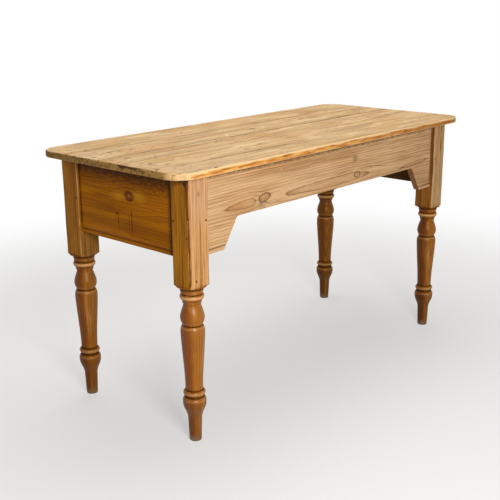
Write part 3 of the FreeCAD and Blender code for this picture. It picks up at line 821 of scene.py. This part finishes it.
def screw_steel():
    """Old slotted screws, dull grey with brown rust in patches."""
    material, tree, local = start_material("screw steel", (0, 0, 0), Euler((0, 0, 0)))
    rust = ramp(grain_noise(local, (240, 240, 240), (0, 0, 0), 3.0), 0.48, 0.6)
    base = mixed(rust, (128, 124, 118), (104, 62, 36))
    shader = tree.nodes["Principled BSDF"]
    join(tree, base, shader.inputs["Base Color"])
    join(tree, opposite(rust), shader.inputs["Metallic"])
    join(tree, calc("MULTIPLY_ADD", rust, 0.4, 0.42), shader.inputs["Roughness"])
    return material


steel = screw_steel()
dress("batten_screws", steel)
dress("pocket_screws", steel)


# The top. Five pine boards tongued together, scrubbed for years until the grain stands up and the
# colour has gone to a pale tan. The long edges keep their honey colour, the end grain is grimy.
# Painted shade darkens the long edges towards the right end and the end grain towards the back.


tongue = 7 * mm
half_length = 685 * mm
half_width = 296 * mm
scrubbed_layer = 6.2 * mm
arris_reach = 6 * mm
arris_wear = 1.2 * mm
chip_middle = -105 * mm
chip_half = 44 * mm
joint_sink = 1.2 * mm


def board_sides(node):
    """Where the front and back edges of a board's upper face are, its tongue left out."""
    low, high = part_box(node)
    return low.y, high.y if node == "top_board_5" else high.y - tongue


def board_mesh(node, seed, gap):
    """One board of the top, gone hollow where it was scrubbed, with its joints opened a little."""
    low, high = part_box(node)
    front, back = board_sides(node)
    mesh = merged_copy(node)
    sliced(mesh, Vector((1, 0, 0)), steps(low.x, high.x, 13 * mm))
    sliced(mesh, Vector((0, 1, 0)), steps(front, back, 11 * mm))
    sliced(mesh, Vector((0, 1, 0)), (front + 1.6 * mm, back - 1.6 * mm))
    for vertex in mesh.verts:
        spot = vertex.co.copy()
        from_top = high.z - spot.z
        if from_top < scrubbed_layer:
            scrub = 0.5 + 0.5 * worn(spot, seed, 5.5)
            vertex.co.z -= (0.15 + 0.75 * scrub ** 2) * mm * (1 - from_top / scrubbed_layer) ** 0.5
        end = half_length - abs(spot.x)
        side = half_width - abs(spot.y)
        rub = 0.5 + 0.5 * noise.noise(spot * 21 + Vector((seed, 0, 0)))
        if end < arris_reach:
            vertex.co.x -= copysign(arris_wear * rub ** 2, spot.x)
        if side < arris_reach:
            vertex.co.y -= copysign(arris_wear * rub ** 2, spot.y)
        chip = max(0.0, 1 - abs(spot.y - chip_middle) / chip_half)
        if spot.x < 15 * mm - half_length and from_top < 9 * mm:
            vertex.co.x += 3.5 * mm * chip
            vertex.co.z -= 1.5 * mm * chip
        opening = 0.5 + 0.5 * noise.noise(Vector((spot.x * 4, seed, 1.7)))
        if from_top < 0.1 * mm and side > 8 * mm:
            to_joint = min(abs(spot.y - front), abs(spot.y - back))
            if to_joint < 1 * mm:
                vertex.co.z -= joint_sink * opening
        if from_top < 6 * mm and abs(spot.y - front) < 1.2 * mm and gap:
            vertex.co.y += gap * opening
    return mesh


top_pale = (230, 194, 140)
top_line = (158, 108, 56)
top_brown = (168, 121, 70)
top_grey = (184, 152, 108)
top_yellow = (228, 186, 112)
top_rose = (214, 162, 116)
pale_wear = (240, 210, 158)
dash_brown = (90, 58, 30)
joint_dirt = (74, 46, 22)
edge_honey = (212, 140, 62)
edge_amber = (242, 182, 102)
edge_brown = (140, 76, 28)
edge_pale = (246, 208, 152)
end_grime = (172, 132, 66)
end_dark = (74, 46, 18)
corner_beige = (236, 192, 138)


def board_material(name, node, rings, knots, joints, spots):
    """Scrubbed pine for one board of the top, its edges included."""
    front, back = board_sides(node)
    middle = (front + back) / 2
    half = (back - front) / 2
    material, tree, local = start_material(name, (0, middle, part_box(node)[1].z), Euler((0, 0, 0)))
    ring, tone, fibre, core, rim = knotty_rings(local, knots, rings)
    seed = rings["Seed"]
    parts = split(local)
    from_middle = calc("ADD", parts[1], middle)
    facing = facing_of(tree)
    blotch = grain_noise(local, (4, 9, 4), (seed, 5, 0), 3.0)
    base = tinted(top_pale, ramp(blotch, 0.46, 0.7), 0.55, top_yellow)
    base = tinted(base, tone, 0.28, top_line)
    fading = calc("MULTIPLY_ADD", ramp(blotch, 0.4, 0.58), 0.75, 0.3)
    base = tinted(base, ring, fading, top_line)
    for stretch, shift, low, high, strength, tint in (
        ((3.2, 24, 12), 0, 0.48, 0.64, 0.5, top_brown),
        ((4.5, 15, 10), 8, 0.5, 0.66, 0.5, top_grey),
        ((2.6, 20, 10), 11, 0.54, 0.7, 0.35, top_rose),
        ((5, 24, 10), 13, 0.52, 0.66, 0.65, pale_wear),
    ):
        base = mixed(part_noise(local, stretch, (seed, shift, 0), low, high, strength), base, tint)
    rough_end = fall(parts[0], -0.68, -0.5)
    narrow = part_noise(local, (6, 110, 40), (seed, 3, 0), 0.5, 0.66, 0.45, 4.0)
    base = tinted(base, narrow, calc("MULTIPLY_ADD", rough_end, 0.2, 0.9), top_brown)
    base = tinted(base, ramp(fibre, 0.5, 0.78), 0.4, top_line)
    base = tinted(base, rough_end, 0.22, pale_wear)
    gold_end = fall(parts[0], -0.685, -0.635)
    gold_end = times(gold_end, ramp(blotch, 0.36, 0.56))
    base = tinted(base, gold_end, 0.5, (204, 152, 80))
    limit = calc("MULTIPLY_ADD", rough_end, -0.07, 0.69)
    dashes = grain_noise(local, (34, 150, 60), (seed, 4, 0), 1.0)
    dashes = ramp(calc("SUBTRACT", dashes, limit), -0.01, 0.05)
    base = tinted(base, dashes, 0.85, dash_brown)
    if knots:
        base = tinted(base, core, 0.8, (134, 88, 48))
        base = tinted(base, rim, 0.7, (84, 52, 28))
    for side, strength, start, stop in joints:
        away = calc("ABSOLUTE", calc("SUBTRACT", parts[1], side * half))
        mask = fall(away, 1.0 * mm, 4.2 * mm)
        patchy = ramp(grain_noise(local, (14, 0, 0), (seed, side, 0), 3.0), 0.36, 0.6)
        inside = times(ramp(parts[0], start - 0.03, start + 0.03), fall(parts[0], stop - 0.03, stop + 0.03))
        patchy = times(calc("MULTIPLY_ADD", patchy, 0.6, 0.4), mask)
        base = tinted(base, patchy, calc("MULTIPLY_ADD", inside, strength, 0.12), joint_dirt)
    for spot, radius, stretch, lean, softness, strength, tint in spots:
        mask = spot_mask(local, spot, radius * mm, stretch, softness, lean)
        base = tinted(base, mask, strength, tint)
    sideways = ramp(calc("ABSOLUTE", facing[1]), 0.92, 0.995)
    endways = ramp(calc("ABSOLUTE", facing[0]), 0.3, 0.75)
    patch = grain_noise(local, (16, 16, 160), (seed, 1, 0), 4.0)
    honey = mixed(ramp(patch, 0.42, 0.6), edge_honey, edge_amber)
    honey = mixed(part_noise(local, (20, 20, 150), (seed, 2, 0), 0.5, 0.66, 0.75), honey, edge_brown)
    # Painted shade: the honey edges darken towards the right end.
    honey = tinted(honey, ramp(parts[0], -0.6, 0.7), 0.5, (156, 84, 20))
    rag = grain_noise(local, (9, 0, 0), (seed, 15, 0), 5.0)
    upper = calc("MULTIPLY_ADD", calc("SUBTRACT", rag, 0.5), 0.019, parts[2])
    upper = ramp(upper, -7 * mm, -3 * mm)
    lower = fall(parts[2], -18 * mm, -15.5 * mm)
    honey = tinted(honey, upper, 0.8, edge_pale)
    honey = tinted(honey, lower, 0.55, edge_pale)
    outer = ramp(calc("ABSOLUTE", from_middle), 0.27, 0.28)
    rounded = times(ramp(calc("ABSOLUTE", facing[1]), 0.2, 0.6), outer)
    base = tinted(base, rounded, 0.8, edge_pale)
    honey = mixed(outer, top_brown, honey)
    base = mixed(sideways, base, honey)
    mottle = part_noise(local, (40, 95, 130), (seed, 7, 0), 0.4, 0.72, 0.8)
    grime = mixed(mottle, end_grime, end_dark)
    # Painted shade: the end grain darkens towards the back.
    grime = tinted(grime, ramp(from_middle, -0.05, 0.25), 0.45, (104, 78, 32))
    flat = add_node(tree, "CombineXYZ", {0: from_middle, 1: parts[2]}).outputs[0]
    for along, radius, stretch in ((-0.108, 6 * mm, 8.0), (-0.076, 9 * mm, 1.9)):
        chip = spot_mask(flat, (along, -0.004), radius, stretch)
        grime = tinted(grime, chip, 0.85, (46, 24, 10))
    grime = tinted(grime, lower, 0.5, (190, 150, 92))
    corner = calc("MAXIMUM", fall(from_middle, -0.262, -0.226), ramp(parts[0], 0.3, 0.4))
    corner = times(corner, calc("MULTIPLY_ADD", mottle, -0.7, 0.95))
    grime = mixed(corner, grime, corner_beige)
    base = mixed(endways, base, grime)
    underside = ramp(times(facing[2], -1.0), 0.3, 0.7)
    base = tinted(base, underside, 0.5, (120, 84, 50))
    gloss = calc("MULTIPLY_ADD", blotch, 0.2, 0.5)
    relief = calc("MULTIPLY_ADD", fibre, 0.6, times(ring, 0.8))
    relief = calc("SUBTRACT", relief, dashes)
    finish_material(tree, base, gloss, relief, 0.6, 0.15)
    return material


dark_hole = (60, 38, 20)
board_knots = {4: [((-0.008, -0.009), 7.5, 2, 0, 0.9, 1.6, 0, 0.9)]}
board_spots = {
    1: [((-0.551, -0.041), 6.25, 1.6, 0.5, 0.5, 0.9, dark_hole),
        ((-0.288, 0.046), 6.25, 1.3, 0, 0.5, 0.95, dark_hole),
        ((-0.672, 0.048), 6.25, 3, 0.5, 0.7, 0.6, dash_brown)],
    2: [((-0.625, 0.012), 5, 2.2, 0.3, 0.6, 0.8, dark_hole),
        ((-0.531, 0.01), 20, 1.2, 0.6, 0.9, 0.5, pale_wear),
        ((-0.07, 0), 11.25, 2, 0.8, 0.9, 0.4, top_brown),
        ((-0.298, -0.03), 11.25, 2.4, 0.3, 0.9, 0.4, dash_brown),
        ((0.278, 0.04), 12.5, 2.2, 0, 0.9, 0.4, top_brown),
        ((0.3, -0.02), 10, 3, -0.5, 0.9, 0.35, top_brown)],
    3: [((-0.268, 0.01), 3.75, 5, 0.8, 0.6, 0.7, dash_brown),
        ((-0.612, 0.01), 5, 3, 0.2, 0.6, 0.7, dark_hole),
        ((-0.536, -0.02), 5, 2.5, 0.4, 0.6, 0.6, dark_hole),
        ((-0.45, 0.02), 17.5, 4, 0, 0.9, 0.35, top_rose)],
    4: [((-0.465, -0.01), 42.5, 2, 0, 0.25, 0.35, (226, 170, 116)),
        ((-0.586, 0.006), 6.25, 2.6, 0.1, 0.6, 0.75, dark_hole),
        ((-0.555, 0.002), 5, 2, 0.3, 0.6, 0.75, dark_hole),
        ((-0.512, 0.001), 5, 3, 0.3, 0.6, 0.8, dark_hole),
        ((-0.462, -0.033), 3.75, 3, 0.2, 0.6, 0.6, dark_hole),
        ((-0.665, -0.024), 10, 1.8, 0.4, 0.7, 0.6, dash_brown),
        ((-0.397, 0.03), 10, 1, 1, 0.8, 0.5, pale_wear),
        ((-0.149, -0.029), 15, 1.6, 0.9, 0.9, 0.6, pale_wear),
        ((0.397, -0.053), 5, 4, 0.2, 0.6, 0.6, dash_brown)],
    5: [((-0.208, -0.027), 6.25, 1.8, 0.4, 0.6, 0.6, dash_brown),
        ((-0.343, 0.008), 15, 2, 0, 0.9, 0.5, (226, 180, 84)),
        ((-0.613, -0.06), 6.25, 2.4, 0.3, 0.6, 0.7, dark_hole),
        ((0.476, -0.075), 5, 4, 0.4, 0.6, 0.6, dash_brown)],
}

for number, seed, gap, heart, offset, joints in (
    (1, 41.0, 0.0, 0.04, 0.07, [(1, 0.75, -0.6, -0.15)]),
    (2, 52.0, 0.5 * mm, 0.028, -0.01, [(-1, 0.75, -0.6, -0.15), (1, 0.3, -0.7, 0.7)]),
    (3, 63.0, 0.3 * mm, 0.05, -0.07, [(-1, 0.4, -0.7, 0.7), (1, 1.0, -0.7, 0.7)]),
    (4, 74.0, 0.8 * mm, 0.03, 0.015, [(-1, 1.0, -0.7, 0.7), (1, 0.85, -0.62, 0.35)]),
    (5, 85.0, 0.4 * mm, 0.035, -0.03, [(-1, 0.85, -0.62, 0.35)]),
):
    node = "top_board_" + str(number)
    rings = {"Heart Depth": heart, "Heart Offset": offset, "Sway": 0.02, "Rise": 0.02,
             "Ring Width": 0.0085, "Ripple": 0.7, "Sharpness": 3.2, "Seed": seed}
    knots = board_knots.get(number, [])
    pine = board_material("scrubbed pine " + str(number), node, rings, knots, joints, board_spots[number])
    piece = "scrubbed_board_" + str(number)
    put_in_place(piece, board_mesh(node, seed, gap), pine, node)


# The place where the table stands: a plain pale floor, two soft lamps and even light all round, with
# the camera of the photograph.


def seen_plain(tree):
    """1 where the background itself is seen, straight or in gloss or glass, and 0 for its light."""
    path = add_node(tree, "LightPath", {}).outputs
    plain = calc("MAXIMUM", path["Is Camera Ray"], path["Is Glossy Ray"])
    return calc("MAXIMUM", plain, path["Is Transmission Ray"])


def floor():
    """A plain pale floor, which fades to the white of the background."""
    mesh = bmesh.new()
    bmesh.ops.create_grid(mesh, x_segments=1, y_segments=1, size=30)
    data = bpy.data.meshes.new("floor")
    mesh.to_mesh(data)
    mesh.free()
    material = bpy.data.materials.new("pale floor")
    material.use_nodes = True
    tree = material.node_tree
    shader = tree.nodes["Principled BSDF"]
    shader.inputs["Base Color"].default_value = colour(230, 226, 220)
    shader.inputs["Roughness"].default_value = 0.8
    shader.inputs["Specular IOR Level"].default_value = 0.0
    white = add_node(tree, "Emission", {"Color": (1, 1, 1, 1), "Strength": 1.0}).outputs[0]
    place = add_node(tree, "TexCoord", {}).outputs["Object"]
    far = add_node(tree, "VectorMath", {0: place}, operation="LENGTH").outputs["Value"]
    share = calc("MULTIPLY_ADD", ramp(far, 0.9, 2.4), 0.5, 0.5)
    share = times(share, seen_plain(tree))
    both = add_node(tree, "MixShader", {0: share, 1: shader.outputs[0], 2: white})
    tree.links.new(both.outputs[0], tree.nodes["Material Output"].inputs["Surface"])
    data.materials.append(material)
    made = bpy.data.objects.new("floor", data)
    bpy.context.scene.collection.objects.link(made)


def softbox(name, place, aim, size, power):
    """A large soft lamp."""
    lamp = bpy.data.lights.new(name, "AREA")
    lamp.shape = "SQUARE"
    lamp.size = size
    lamp.energy = power
    made = bpy.data.objects.new(name, lamp)
    made.location = place
    made.rotation_euler = (Vector(aim) - Vector(place)).to_track_quat("-Z", "Y").to_euler()
    bpy.context.scene.collection.objects.link(made)


def white_world(strength):
    """Even light from all round, seen by the camera as plain white."""
    world = bpy.data.worlds.new("studio")
    world.use_nodes = True
    tree = world.node_tree
    tree.nodes.clear()
    light = add_node(tree, "Background", {"Color": (1, 1, 1, 1), "Strength": strength})
    seen = add_node(tree, "Background", {"Color": (1, 1, 1, 1), "Strength": 1.0})
    both = add_node(tree, "MixShader", {0: seen_plain(tree), 1: light.outputs[0], 2: seen.outputs[0]})
    out = tree.nodes.new("ShaderNodeOutputWorld")
    tree.links.new(both.outputs[0], out.inputs[0])
    bpy.context.scene.world = world


def camera():
    """The camera that took the photograph, fitted to its straight lines."""
    yaw, pitch, roll = radians(47.768), radians(-16.305), radians(-0.462)
    ahead = Vector((sin(yaw) * cos(pitch), cos(yaw) * cos(pitch), sin(pitch)))
    level = Vector((cos(yaw), -sin(yaw), 0))
    upright = level.cross(ahead)
    right = level * cos(roll) + upright * sin(roll)
    top = upright * cos(roll) - level * sin(roll)
    turn = Matrix((right, top, -ahead)).transposed().to_4x4()
    lens = bpy.data.cameras.new("camera")
    lens.sensor_width = 36
    lens.lens = 890.26 / 500 * 36
    made = bpy.data.objects.new("camera", lens)
    bpy.context.scene.collection.objects.link(made)
    made.matrix_world = Matrix.Translation((-2.14313, -1.84796, 1.2019)) @ turn
    bpy.context.scene.camera = made


floor()
softbox("key", (-1.6, -2.3, 1.35), (0, -0.1, 0.55), 0.8, 55)
softbox("top", (0.35, 0.4, 3.1), (0, 0, 0.7), 2.2, 56)
white_world(0.12)
camera()
bpy.context.scene.view_settings.view_transform = "Standard"
